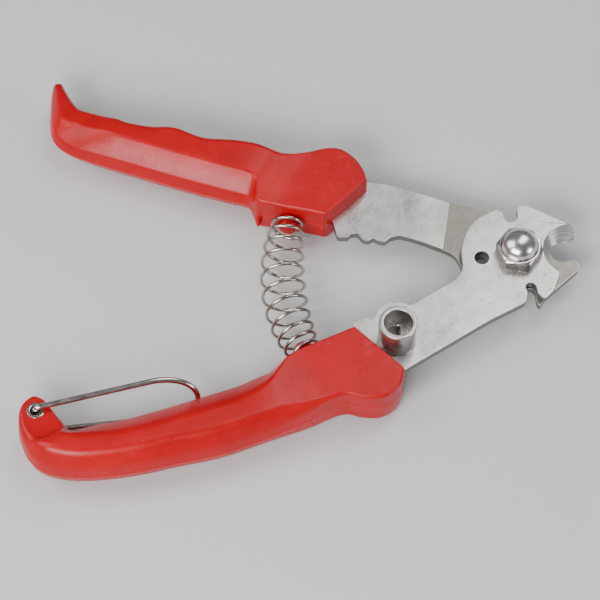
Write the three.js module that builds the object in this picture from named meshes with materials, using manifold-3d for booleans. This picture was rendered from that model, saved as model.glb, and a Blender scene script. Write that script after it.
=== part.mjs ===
// A spring-loaded hand cutter for bicycle control cable and its housing.
// Two stamped blades turn on one bolt; each has a moulded grip on its tang.
// Millimetres. +X points at the jaws, +Y at the rear grip, +Z up from the table.
// Every outline below is drawn around the pivot, with the jaws sprung open.
import * as THREE from 'three';
import { mergeVertices } from 'three/addons/utils/BufferGeometryUtils.js';
import Module from 'manifold-3d';

const wasm = await Module();
wasm.setup();

// ---- driving dimensions ----
const PIVOT = [74.32, -0.5];       // pivot axis, from the middle of the footprint
const BLADE = 3;                   // blade thickness
const RUB_Z = 10;                  // height of the face where the blades rub
const RUB_GAP = 0.3;               // depth of the ground rubbing zone
const FIT = 0.3;                   // clearance between parts that fit together
const GRIP_TOP = 20;               // grips are as thick as this, resting at zero
const MIDDLE = GRIP_TOP / 2;
const HEAD_LOW = 2;                // the grip heads are thinner by this, above and below
const FACET = 6.5;                 // width of the slanted side facet of a grip
const BOLT_R = 4;
const BOLT_HEAD = 5.3;
const BORE_R = BOLT_R + FIT;
const NUT_FLATS = 14;
const NUT_SIDE = 4.6;
const NUT_TURN = 18;               // how the hexagon happens to stand, in degrees
const DOME_R = 6.3;
const DOME_RISE = 5.2;
const TUBE_AT = [-43.5, -31];
const TUBE_R = 6.4;
const TUBE_BORE = 4.7;
const TUBE_HEIGHT = 11.4;
const NEEDLE_TIP = 22.7;
const NEEDLE_R = 0.8;              // the needle's foot, pressed through the tube's floor
const STAKE_R = 3;                 // the tube's foot, riveted in the blade
const SHEAR_HOLE = [-12.7, -1.2];
const SHEAR_HOLE_R = 2.5;
const EYE = [-163.4, -53.2];
const EYE_BORE = 1.75;
const EYE_WALL = 2.3;
const LUG_LOW = 3.6;
const LUG_HIGH = 16.4;
const HEAD_DROP = HEAD_LOW + 0.02; // the handle runs into its head just below the head's face
const TAIL_DROP = 2.4;             // the front grip's tail is lower by this, above and below
const EDGE = 0.8;                  // broken edge of the moulded slabs
const TAIL_HALF = 6.6;             // half the rear grip's thickness where the bail passes
const HOOK_HALF = 5.5;
const WIRE_R = 1;                  // lock bail wire
const BAIL_ANGLE = 11.5;           // its upper arm lies beside the front grip, degrees from +X
const BAIL_LEAN = 0.14;            // sideways lean of the lower arm, per mm along it
const BAIL_ARM = 38;               // straight part of each arm
const BAIL_NOSE = 15;              // length of the rounded nose
const BAIL_SPREAD = 8.3;           // from the middle plane to the wire's centre
const BAIL_SET = 1.1;              // how far the nose is bent to one side
const BAIL_BEND = 1.8;             // where each arm turns into the eyelet
const BAIL_PIN = 5;                // how deep its ends reach in
const SPRING_WIRE = 0.58;          // radius of its wire
const REAR_SEAT = [-77, 18.7];     // where the spring sits on each grip, and the way it points
const REAR_OUT = [-0.267, -0.964];
const FRONT_SEAT = [-74, -33.7];
const FRONT_OUT = [-0.414, 0.91];
const SPRING_BOW = [-84.8, -10.7];  // its axis is pulled towards this point
const SPRING_CLOSE = 0.055;         // how much closer its end coils are
const SPRING_TURNS = 10.5;
const SPRING_END_R = 4.7;
const SPRING_MID_R = 7.3;
const ARC_STEP = THREE.MathUtils.degToRad(9);
const ROUND = 32;                  // sides of a bore or a shank
const NUT_DEPTH = 6.1;             // how far the bolt reaches above the front blade
const TIP_DOME = 10;               // steps of the nut's domed top

// ---- outlines ----
// A corner is [x, y, radius]; an arc is { centre, radius, from, to } in degrees.
function outline(items) {
  const points = [];
  const arcEnds = (item) => [arcEnd(item, 'from'), arcEnd(item, 'to')];
  const endsOf = (item) => (Array.isArray(item) ? [item, item] : arcEnds(item));
  const ends = items.map(endsOf);
  items.forEach((item, i) => {
    if (!Array.isArray(item)) {
      sweep(points, item.centre, item.radius, rad(item.from), rad(item.to));
      return;
    }
    const before = ends[(i + items.length - 1) % items.length][1];
    const after = ends[(i + 1) % items.length][0];
    roundCorner(points, before, item, after);
  });
  return points;
}

function rad(degrees) {
  return THREE.MathUtils.degToRad(degrees);
}

function arcEnd(arc, which) {
  const angle = rad(arc[which]);
  return [arc.centre[0] + arc.radius * Math.cos(angle), arc.centre[1] + arc.radius * Math.sin(angle)];
}

function sweep(points, centre, radius, from, to) {
  const steps = Math.max(1, Math.ceil(Math.abs(to - from) / ARC_STEP));
  for (let i = 0; i <= steps; i += 1) {
    const angle = from + ((to - from) * i) / steps;
    const x = centre[0] + radius * Math.cos(angle);
    const y = centre[1] + radius * Math.sin(angle);
    points.push(new THREE.Vector2(x, y));
  }
}

function roundCorner(points, before, corner, after) {
  const at = new THREE.Vector2(corner[0], corner[1]);
  const radius = corner[2] || 0;
  const back = new THREE.Vector2(before[0], before[1]).sub(at);
  const ahead = new THREE.Vector2(after[0], after[1]).sub(at);
  const half = back.angleTo(ahead) / 2;
  const wanted = radius / Math.tan(half);
  const reach = Math.min(wanted, back.length() * 0.49, ahead.length() * 0.49);
  if (reach < 0.02) {
    points.push(at);
    return;
  }
  const real = reach * Math.tan(half);
  back.normalize();
  ahead.normalize();
  const centre = back.clone().add(ahead).normalize().multiplyScalar(real / Math.sin(half)).add(at);
  const start = at.clone().addScaledVector(back, reach).sub(centre);
  const end = at.clone().addScaledVector(ahead, reach).sub(centre);
  const from = Math.atan2(start.y, start.x);
  let turn = Math.atan2(end.y, end.x) - from;
  if (turn > Math.PI) turn -= 2 * Math.PI;
  if (turn < -Math.PI) turn += 2 * Math.PI;
  sweep(points, [centre.x, centre.y], real, from, from + turn);
}

// Pushes every side of a clockwise polygon of corners out by a distance.
function grow(corners, distance) {
  return corners.map((corner, i) => {
    const before = corners[(i + corners.length - 1) % corners.length];
    const after = corners[(i + 1) % corners.length];
    const a = new THREE.Vector2(corner[0] - before[0], corner[1] - before[1]).normalize();
    const b = new THREE.Vector2(after[0] - corner[0], after[1] - corner[1]).normalize();
    const out = new THREE.Vector2(-a.y - b.y, a.x + b.x).normalize();
    const stretch = distance / (out.x * -a.y + out.y * a.x);
    return [corner[0] + out.x * stretch, corner[1] + out.y * stretch, corner[2] || 0];
  });
}

// ---- solids ----
function slab(points, bottom, top, bevel = 0) {
  const geometry = new THREE.ExtrudeGeometry(new THREE.Shape(points), {
    depth: top - bottom - 2 * bevel,
    bevelEnabled: bevel > 0,
    bevelThickness: bevel,
    bevelSize: bevel,
    bevelOffset: -bevel,
    bevelSegments: 1,
    steps: 1,
  });
  return geometry.translate(0, 0, bottom + bevel);
}

function turned(profile, sides, at = [0, 0]) {
  const points = profile.map(([r, z]) => new THREE.Vector2(r, z));
  return new THREE.LatheGeometry(points, sides).rotateX(Math.PI / 2).translate(at[0], at[1], 0);
}

function rod(radius, bottom, top, sides, at = [0, 0]) {
  return new THREE.CylinderGeometry(radius, radius, top - bottom, sides)
    .rotateX(Math.PI / 2)
    .translate(at[0], at[1], (top + bottom) / 2);
}

function wire(curve, radius, sides, steps) {
  const section = new THREE.Shape();
  for (let i = 0; i < sides; i += 1) {
    const angle = (2 * Math.PI * i) / sides;
    const move = i === 0 ? 'moveTo' : 'lineTo';
    section[move](radius * Math.cos(angle), radius * Math.sin(angle));
  }
  return new THREE.ExtrudeGeometry(section, { steps, bevelEnabled: false, extrudePath: curve });
}

function solid(geometry) {
  const bare = geometry.clone();
  bare.deleteAttribute('normal');
  bare.deleteAttribute('uv');
  const merged = mergeVertices(bare, 1e-4);
  return new wasm.Manifold(new wasm.Mesh({
    numProp: 3,
    vertProperties: new Float32Array(merged.attributes.position.array),
    triVerts: new Uint32Array(merged.index.array),
  }));
}

function surface(manifold) {
  const mesh = manifold.getMesh();
  const geometry = new THREE.BufferGeometry();
  geometry.setAttribute('position', new THREE.BufferAttribute(mesh.vertProperties, 3));
  geometry.setIndex(new THREE.BufferAttribute(mesh.triVerts, 1));
  geometry.computeVertexNormals();
  return geometry;
}

// ---- blades ----
const REAR_LOW = RUB_Z - BLADE;
const FRONT_TOP = RUB_Z + BLADE;

// Where each tang fills its grip; past the grip's end face this runs wide of the blade.
const FRONT_TANG = [
  [-106, -55.2], [-64, -38.2], [-58.4, -30.5], [-58.4, -20], [-38, -20], [-38, -44.8], [-45.5, -44.8],
  [-60, -46.6], [-103.5, -64],
];
const REAR_TANG = [
  [-115, 39.6], [-112, 48.5], [-66, 33.2], [-53, 33.6], [-40, 33.6], [-40, 8], [-62.4, 8],
  [-62.4, 18.6], [-64.5, 19.2], [-70, 24.5],
];

function frontBlade() {
  const edge = outline([
    [-60, -46.6, 2], [-103.5, -64, 2], [-106, -55.2, 2], [-64, -38.2, 2], [-58.4, -30.5, 1],
    [-57.9, -24, 1.6], [-54, -21.6, 1.8], [-52.6, -23.1, 1], [-50, -21.8, 1.2], [-49.6, -19.4, 1.2],
    [-45.6, -16.6, 2.5], [-40.6, -17, 6], [-38.2, -18.4, 3], [-25.2, -11, 9],
    [-19.2, -6.8, 7], [-19.6, 2.5, 14], [-15.5, 13, 14], [-4.6, 18.6, 2.4],
    [-3.6, 13.6, 2], [-2.3, 12.3, 1.6], [0.3, 12.6, 1.8], [0.9, 14.6, 2], [0.9, 18.9, 1.8],
    [4.6, 18.6, 2], [19.4, 9.9, 3], [19.8, 6.2, 1.2], [17.4, 4.7, 0.6],
    { centre: [15.4, 0.5], radius: 4.4, from: 72, to: 196 },
    [12.5, -5, 6], [12.9, -9, 1.6], [10.6, -15, 5], [7, -18.4, 1], [4.9, -15.9, 2], [4.7, -13.2, 2],
    [3, -11.3, 1.7], [0.8, -12.6, 1.6], [1.5, -15.4, 2], [0.6, -19.2, 2.2],
    [-12.4, -25.6, 30], [-41.8, -42.7, 0], [-45.5, -44.6, 1],
  ]);
  const plate = solid(slab(edge, RUB_Z, FRONT_TOP));
  const bore = solid(rod(BORE_R, RUB_Z - 1, FRONT_TOP + 1, ROUND));
  const shearHole = solid(rod(SHEAR_HOLE_R, RUB_Z - 1, FRONT_TOP + 1, ROUND, SHEAR_HOLE));
  const stake = solid(rod(STAKE_R + FIT, RUB_Z - 1, FRONT_TOP + 1, ROUND, TUBE_AT));
  return plate.subtract(bore).subtract(shearHole).subtract(stake)
    .subtract(solid(bevelCone(1, [15.4, 0.5], [19.2, 0.6])));
}

// The jaw's ground bevel: a leaning cone, narrow at the rubbing face.
function bevelCone(up, low, high) {
  const land = 0.35;
  const reach = BLADE + 0.4;
  const cone = new THREE.CylinderGeometry(11.6, 4.3, reach, 56).rotateX(Math.PI / 2);
  const lean = new THREE.Matrix4().makeShear(0, 0, 0, 0, 0, 0);
  lean.elements[8] = (high[0] - low[0]) / reach;
  lean.elements[9] = (high[1] - low[1]) / reach;
  cone.applyMatrix4(lean);
  if (up < 0) cone.rotateX(Math.PI);
  const level = RUB_Z + up * (land + reach / 2) - (up < 0 ? RUB_GAP : 0);
  return cone.translate((low[0] + high[0]) / 2, (low[1] + high[1]) / 2, level);
}

function rearBlade() {
  const edge = outline([
    [-70, 24.5, 2], [-115, 39.6, 2], [-112, 48.5, 2], [-66, 33.2, 3], [-53, 33.4, 1],
    [-48.6, 33.1, 4], [-39.8, 31, 6], [-21.8, 23.3, 0], [-9.3, 19.2, 8], [-4.7, 17.4, 2],
    [-3.8, 13.8, 2], [-2.4, 12.1, 1.6], [0.4, 12.3, 1.8], [1.1, 14.6, 2], [1.2, 17.4, 1.6],
    [6.5, 15.8, 4], [10.6, 10.6, 1.6],
    { centre: [15.8, 2.7], radius: 5.1, from: 170, to: 262 },
    [19.3, -1.8, 0.8], [20.3, -3.4, 1.2], [20, -5.8, 1.6], [8, -16, 1], [5.4, -19.6, 0.9],
    [4.6, -17.4, 0.8], [4.6, -13.4, 2], [2.9, -11.8, 1.5], [1, -13, 1.5], [1.4, -16.6, 2],
    [-2.4, -17.4, 2], [-14, -10.4, 12], [-19.4, -3.4, 6],
    [-21.3, 2.5, 8], [-33.1, 8.4, 30], [-39.7, 10.9, 3], [-42.8, 10.2, 2], [-44.9, 8.5, 0.9],
    [-47.2, 9.2, 0.9], [-48.7, 10.3, 0.9], [-50.4, 9.2, 1], [-52.4, 9.8, 1], [-54, 12.4, 1.2],
    [-56.4, 12.3, 1], [-57.3, 11, 0.8], [-60.9, 11.2, 1.2], [-62.4, 18.6, 1], [-64.5, 19.2, 1],
  ]);
  const plate = solid(slab(edge, REAR_LOW, RUB_Z));
  const bore = solid(rod(BORE_R, REAR_LOW - 1, RUB_Z + 1, ROUND));
  const shearHole = solid(rod(SHEAR_HOLE_R, REAR_LOW - 1, RUB_Z + 1, ROUND, SHEAR_HOLE));
  const zone = outline([[-25.8, 3.5], [-21.4, 25], [30, 25], [30, -25], [-25.8, -25]]);
  const recess = solid(slab(zone, RUB_Z - RUB_GAP, RUB_Z + 2));
  return plate.subtract(bore).subtract(shearHole).subtract(recess)
    .subtract(solid(bevelCone(-1, [15.8, 2.7], [19.2, 1.2])));
}

// ---- pivot ----
function pivotBolt() {
  const side = [[0, 0], [6.5, 0], [7.3, 0.6], [7.5, 0.8], [7.5, BOLT_HEAD], [0, BOLT_HEAD]];
  const shank = solid(rod(BOLT_R, BOLT_HEAD - 0.5, FRONT_TOP + NUT_DEPTH, ROUND));
  return solid(turned(side, 6)).add(shank);
}

function pivotWasher() {
  const low = BOLT_HEAD + 0.02;
  const high = REAR_LOW - 0.04;
  return turned([[BORE_R, low], [8, low], [8, high], [BORE_R, high], [BORE_R, low]], 40);
}

function domeNut() {
  const low = FRONT_TOP + 0.05;
  const corner = NUT_FLATS / Math.sqrt(3);
  const shoulder = low + NUT_SIDE;
  const top = shoulder + 0.2;
  const hex = solid(rod(corner, low, top, 6).rotateZ(rad(NUT_TURN)));
  const chamfer = [[0, low], [corner, low], [corner, shoulder - 0.9], [DOME_R + 0.4, top], [0, top]];
  const dome = [[0, shoulder - 1], [DOME_R, shoulder - 1]];
  for (let i = 0; i < TIP_DOME; i += 1) {
    const angle = (Math.PI / 2) * (i / TIP_DOME);
    dome.push([DOME_R * Math.cos(angle), shoulder + DOME_RISE * Math.sin(angle)]);
  }
  dome.push([0, shoulder + DOME_RISE]);
  const bore = solid(rod(BORE_R, low - 1, FRONT_TOP + NUT_DEPTH + FIT, ROUND));
  return hex.intersect(solid(turned(chamfer, 48))).add(solid(turned(dome, 48))).subtract(bore);
}

// ---- liner opener ----
function needleTube() {
  const low = FRONT_TOP + 0.05;
  const top = low + TUBE_HEIGHT;
  const floor = low + 1.4;
  const stakeEnd = RUB_Z + 0.3;
  const bore = NEEDLE_R + FIT;
  const profile = [
    [bore, stakeEnd], [STAKE_R, stakeEnd], [STAKE_R, low], [TUBE_R, low], [TUBE_R, top - 0.3],
    [TUBE_R - 0.3, top], [TUBE_BORE + 0.4, top], [TUBE_BORE, top - 0.5], [TUBE_BORE, floor],
    [bore, floor], [bore, stakeEnd],
  ];
  return turned(profile, 40, TUBE_AT);
}

function linerNeedle() {
  const seat = FRONT_TOP + 0.05 + 1.4 + 0.05;
  const foot = RUB_Z + 0.5;
  const profile = [
    [0, foot], [NEEDLE_R, foot], [NEEDLE_R, seat], [1.7, seat], [1.45, seat + 3],
    [0.55, NEEDLE_TIP - 0.7], [0.3, NEEDLE_TIP - 0.15], [0, NEEDLE_TIP],
  ];
  return turned(profile, 20, TUBE_AT);
}

// ---- grips ----
function pocket(tang, low) {
  return solid(slab(outline(grow(tang, FIT)), low - FIT, low + BLADE + FIT));
}

// A short moulded peg that the end coil of the spring sits over.
function peg(at, toward) {
  const axis = new THREE.Vector3(toward[0], toward[1], 0).normalize();
  const side = [[0, -6], [3.4, -6], [3.4, 2.6], [2.7, 4.2], [0, 4.2]];
  const shape = new THREE.LatheGeometry(side.map(([r, h]) => new THREE.Vector2(r, h)), 20);
  shape.applyQuaternion(new THREE.Quaternion().setFromUnitVectors(new THREE.Vector3(0, 1, 0), axis));
  return solid(shape.translate(at[0], at[1], MIDDLE));
}


// The moulded handle: six-sided sections between its two edge lines, -Y edge first.
// Each section has a flat top and bottom and two slanted facets on either side.
function handleBody(nearEdge, farEdge, halfHeight) {
  const stations = 30;
  const shape = new THREE.CylinderGeometry(1, 1, 1, 6, stations);
  const place = shape.attributes.position;
  for (let i = 0; i < place.count; i += 1) {
    const t = place.getY(i) + 0.5;
    const centre = Math.hypot(place.getX(i), place.getZ(i)) < 0.5;
    const corner = Math.round(6 - (Math.atan2(place.getX(i), place.getZ(i)) * 3) / Math.PI) % 6;
    const near = nearEdge(t);
    const far = farEdge(t);
    const share = Math.min(FACET / near.distanceTo(far), 0.36);
    const across = centre ? 0.5 : [0, share, 1 - share, 1, 1 - share, share][corner];
    const up = centre ? 0 : [0, 1, 1, 0, -1, -1][corner];
    const spot = near.clone().lerp(far, across);
    place.setXYZ(i, spot.x, spot.y, MIDDLE + up * halfHeight(t));
  }
  return solid(shape);
}

function ease(t, from, to) {
  return THREE.MathUtils.smoothstep(t, from, to);
}

function smoothEdge(points) {
  const curve = new THREE.SplineCurve(points.map(([x, y]) => new THREE.Vector2(x, y)));
  return (t) => curve.getPoint(t);
}

// The rear grip's outer edge: three finger hollows on a straight line.
function fingerEdge(t) {
  const tail = new THREE.Vector2(-158.4, 68.2);
  const spot = tail.clone().lerp(new THREE.Vector2(-67, 40.4), t);
  const hollow = 24.5;
  const depth = 0.9;
  spot.y += depth * Math.cos((2 * Math.PI * (spot.distanceTo(tail) - 16.5)) / hollow);
  return spot;
}

function rearGrip() {
  const inner = smoothEdge([
    [-158.6, 57], [-154.5, 49.3], [-138.3, 41.4], [-120.8, 34], [-101, 26.6], [-86, 21.6], [-70, 17.6],
  ]);
  const rise = (t) => MIDDLE - (MIDDLE - TAIL_HALF) * (1 - ease(t, 0.07, 0.3))
    - HEAD_DROP * ease(t, 0.6, 0.85);
  const head = outline([
    [-65.3, 15.6, 1.1], [-88.5, 21.6, 2], [-94, 30], [-86, 42], [-76, 39.6, 20], [-63, 44.4, 12],
    [-53.5, 42.2, 8], [-48.8, 33, 3], [-49.4, 28.9, 1.1],
  ]);
  const hook = outline([
    [-146, 52], [-158.6, 54, 2], [-158.3, 78.6, 1.6], [-154.8, 77.8, 1.4], [-147.4, 65, 3],
  ]);
  return handleBody(inner, fingerEdge, rise)
    .add(solid(slab(head, HEAD_LOW, GRIP_TOP - HEAD_LOW, EDGE)))
    .add(solid(slab(hook, MIDDLE - HOOK_HALF, MIDDLE + HOOK_HALF, EDGE)))
    .add(peg(REAR_SEAT, REAR_OUT))
    .subtract(pocket(REAR_TANG, REAR_LOW));
}

function frontGrip() {
  const inner = smoothEdge([
    [-167, -63.5], [-160, -59.4], [-150, -57.8], [-125, -52.6], [-104, -46.6], [-85, -40.3], [-66, -33],
  ]);
  const outer = smoothEdge([
    [-168.2, -67], [-163.5, -73.6], [-152, -76.9], [-134.6, -76.5], [-104, -71.4],
    [-80, -62.6], [-58, -53],
  ]);
  const rise = (t) => MIDDLE - TAIL_DROP * (1 - ease(t, 0, 0.12)) - HEAD_DROP * ease(t, 0.68, 0.9);
  const head = outline([
    [-58.4, -27.9, 1.1], [-42, -45.2, 1.2], [-43.5, -52.5, 6], [-57, -57.4, 7], [-67.5, -53.6, 14],
    [-84, -60], [-90, -50], [-84.8, -44, 2], [-82, -37.6, 4],
  ]);
  const lug = outline([
    [-168.9, -68, 3], [-168.9, -48, 5.4], [-160, -47.6, 4.8], [-149.6, -61, 5], [-154, -70, 3],
  ]);
  const step = outline([[-176, -40], [-146, -40], [-157, -59.6, 2], [-176, -60.6]]);
  const eye = solid(rod(EYE_WALL + 0.1, LUG_LOW - 1, LUG_HIGH + 1, ROUND, EYE));
  return handleBody(outer, inner, rise)
    .subtract(solid(slab(step, LUG_HIGH, GRIP_TOP + 1)))
    .subtract(solid(slab(step, -1, LUG_LOW)))
    .add(solid(slab(head, HEAD_LOW, GRIP_TOP - HEAD_LOW, EDGE)))
    .add(solid(slab(lug, LUG_LOW, LUG_HIGH, 0.7)))
    .add(peg(FRONT_SEAT, FRONT_OUT))
    .subtract(eye)
    .subtract(pocket(FRONT_TANG, RUB_Z));
}

// ---- return spring: a barrel coil, bowed because its two seats lean ----
function returnSpring() {
  const start = new THREE.Vector3(REAR_SEAT[0], REAR_SEAT[1], MIDDLE);
  const end = new THREE.Vector3(FRONT_SEAT[0], FRONT_SEAT[1], MIDDLE);
  const gap = SPRING_WIRE + FIT;
  start.addScaledVector(new THREE.Vector3(REAR_OUT[0], REAR_OUT[1], 0), gap);
  end.addScaledVector(new THREE.Vector3(FRONT_OUT[0], FRONT_OUT[1], 0), gap);
  const bow = new THREE.Vector3(SPRING_BOW[0], SPRING_BOW[1], MIDDLE);
  const axis = new THREE.QuadraticBezierCurve3(start, bow, end);
  class Coil extends THREE.Curve {
    getPoint(t, target = new THREE.Vector3()) {
      const pitch = t - SPRING_CLOSE * Math.sin(2 * Math.PI * t);
      const along = axis.getTangent(pitch);
      const side = new THREE.Vector3(-along.y, along.x, 0);
      const swell = Math.sin(Math.PI * t) ** 0.8;
      const radius = SPRING_END_R + (SPRING_MID_R - SPRING_END_R) * swell;
      const angle = 2 * Math.PI * SPRING_TURNS * t;
      return target.copy(axis.getPoint(pitch))
        .addScaledVector(side, radius * Math.cos(angle))
        .add(new THREE.Vector3(0, 0, radius * Math.sin(angle)));
    }
  }
  return wire(new Coil(), SPRING_WIRE, 6, Math.round(SPRING_TURNS * 16));
}

// ---- lock bail and its eyelet ----
function bailEyelet() {
  const low = LUG_LOW - 0.35;
  const high = LUG_HIGH + 0.35;
  const wall = EYE_WALL;
  const rim = EYE_BORE + 1;
  const profile = [
    [EYE_BORE, low], [rim, low], [rim, LUG_LOW - 0.05], [wall, LUG_LOW - 0.05], [wall, LUG_HIGH + 0.05],
    [rim, LUG_HIGH + 0.05], [rim, high], [EYE_BORE, high], [EYE_BORE, low],
  ];
  return turned(profile, 28, EYE);
}

// How far the loop is sideways of its upper arm: the lower arm leans towards the front grip.
function bailLean(along, height) {
  return -BAIL_LEAN * along * (1 - height / BAIL_SPREAD) / 2;
}

// The rounded nose joins the two arms and is bent to one side, towards the front grip.
class BailNose extends THREE.Curve {
  getPoint(t, target = new THREE.Vector3()) {
    const angle = Math.PI * t;
    const along = BAIL_ARM + BAIL_NOSE * Math.sin(angle);
    const height = BAIL_SPREAD * Math.cos(angle);
    const set = BAIL_SET * (1 - Math.abs(Math.cos(angle))) ** 0.8;
    return target.set(along, bailLean(along, height) - set, MIDDLE + height);
  }
}

function lockBail() {
  const path = new THREE.CurvePath();
  const spot = (along, height) => new THREE.Vector3(along, bailLean(along, height), MIDDLE + height);
  const line = (a, b) => path.add(new THREE.LineCurve3(a, b));
  const bend = (a, b, c) => path.add(new THREE.QuadraticBezierCurve3(a, b, c));
  line(spot(0, BAIL_SPREAD - BAIL_PIN), spot(0, BAIL_SPREAD - BAIL_BEND));
  bend(spot(0, BAIL_SPREAD - BAIL_BEND), spot(0, BAIL_SPREAD), spot(BAIL_BEND, BAIL_SPREAD));
  line(spot(BAIL_BEND, BAIL_SPREAD), spot(BAIL_ARM, BAIL_SPREAD));
  path.add(new BailNose());
  line(spot(BAIL_ARM, -BAIL_SPREAD), spot(BAIL_BEND, -BAIL_SPREAD));
  bend(spot(BAIL_BEND, -BAIL_SPREAD), spot(0, -BAIL_SPREAD), spot(0, BAIL_BEND - BAIL_SPREAD));
  line(spot(0, BAIL_BEND - BAIL_SPREAD), spot(0, BAIL_PIN - BAIL_SPREAD));
  return wire(path, WIRE_R, 8, 110).rotateZ(rad(BAIL_ANGLE)).translate(EYE[0], EYE[1], 0);
}

// ---- materials and assembly ----
function finish(color, roughness, metalness) {
  return new THREE.MeshStandardMaterial({ color, roughness, metalness });
}

const plated = () => finish(0xcdcbc6, 0.32, 0.9);
const chrome = () => finish(0xd9d4d2, 0.08, 1);
const redPlastic = () => finish(0xd72328, 0.38, 0);

const tool = new THREE.Group();
tool.position.set(PIVOT[0], PIVOT[1], 0);

function place(name, shape, material) {
  const geometry = shape.isBufferGeometry ? shape : surface(shape);
  const mesh = new THREE.Mesh(geometry, material);
  mesh.name = name;
  tool.add(mesh);
}

place('rear_blade', rearBlade(), plated());
place('front_blade', frontBlade(), plated());
place('pivot_bolt', pivotBolt(), plated());
place('pivot_washer', pivotWasher(), plated());
place('dome_nut', domeNut(), chrome());
place('needle_tube', needleTube(), finish(0xbfb9b2, 0.3, 1));
place('liner_needle', linerNeedle(), finish(0xe4e2de, 0.12, 1));
place('rear_grip', rearGrip(), redPlastic());
place('front_grip', frontGrip(), redPlastic());
place('return_spring', returnSpring(), finish(0xc9c5be, 0.18, 1));
place('bail_eyelet', bailEyelet(), chrome());
place('lock_bail', lockBail(), finish(0xd2cec8, 0.15, 1));

export default tool;
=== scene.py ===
"""A hand tool that cuts bicycle cable and housing: its finished looks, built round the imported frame."""
import math

import bmesh
import bpy
from mathutils import Matrix, Vector


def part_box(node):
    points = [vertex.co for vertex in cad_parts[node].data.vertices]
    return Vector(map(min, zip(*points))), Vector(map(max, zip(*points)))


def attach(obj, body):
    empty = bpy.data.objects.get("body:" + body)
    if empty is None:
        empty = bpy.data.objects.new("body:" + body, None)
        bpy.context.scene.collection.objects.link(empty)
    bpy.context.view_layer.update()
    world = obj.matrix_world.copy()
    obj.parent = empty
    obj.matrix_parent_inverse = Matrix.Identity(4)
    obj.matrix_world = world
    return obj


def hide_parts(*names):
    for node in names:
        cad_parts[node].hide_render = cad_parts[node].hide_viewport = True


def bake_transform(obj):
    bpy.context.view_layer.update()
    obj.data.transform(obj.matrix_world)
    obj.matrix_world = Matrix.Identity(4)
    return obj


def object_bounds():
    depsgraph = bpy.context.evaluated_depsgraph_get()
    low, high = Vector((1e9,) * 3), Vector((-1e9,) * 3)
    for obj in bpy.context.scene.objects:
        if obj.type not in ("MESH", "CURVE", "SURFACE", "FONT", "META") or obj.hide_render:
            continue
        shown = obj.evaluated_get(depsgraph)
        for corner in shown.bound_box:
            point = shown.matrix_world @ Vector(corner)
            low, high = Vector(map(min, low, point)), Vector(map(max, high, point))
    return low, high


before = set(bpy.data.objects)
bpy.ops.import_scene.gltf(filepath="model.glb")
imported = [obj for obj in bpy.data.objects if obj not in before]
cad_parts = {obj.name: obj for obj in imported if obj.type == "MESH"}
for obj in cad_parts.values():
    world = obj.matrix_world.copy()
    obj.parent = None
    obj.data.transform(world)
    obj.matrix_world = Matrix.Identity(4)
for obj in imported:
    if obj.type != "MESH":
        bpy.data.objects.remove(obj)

cad_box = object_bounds()

MM = 0.001


def middle_of(node):
    low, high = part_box(node)
    return (low + high) / 2


PIVOT = middle_of("pivot_washer")
EYE = middle_of("bail_eyelet")
TUBE = middle_of("needle_tube")
NUT_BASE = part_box("dome_nut")[0].z

# The points above are in metres. Lengths below are in mm unless a comment says otherwise.
MIDDLE = 10.0                       # height of the grips' parting plane
NUT_FLATS = 14.0
NUT_SHOULDER = 4.75                 # height of the nut's hexagon
NUT_TURN = 18.0                     # degrees
DOME_RADIUS = 6.24
GROOVE_RADIUS = 6.36                # the fine groove where the dome meets the hexagon
BOLT_FLATS = 13.0
BOLT_HEAD = 5.3                     # top of the bolt's head
CHAMFER_SLOPE = math.tan(math.radians(30))
MOUTH = (16.2, 0.6)                 # centre of the cutting mouth's ground crescent, from the pivot


def spot(x, y, z):
    """A point given in mm from the pivot's axis, as metres in the frame."""
    return Vector((PIVOT.x + x * MM, PIVOT.y + y * MM, z * MM))


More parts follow.
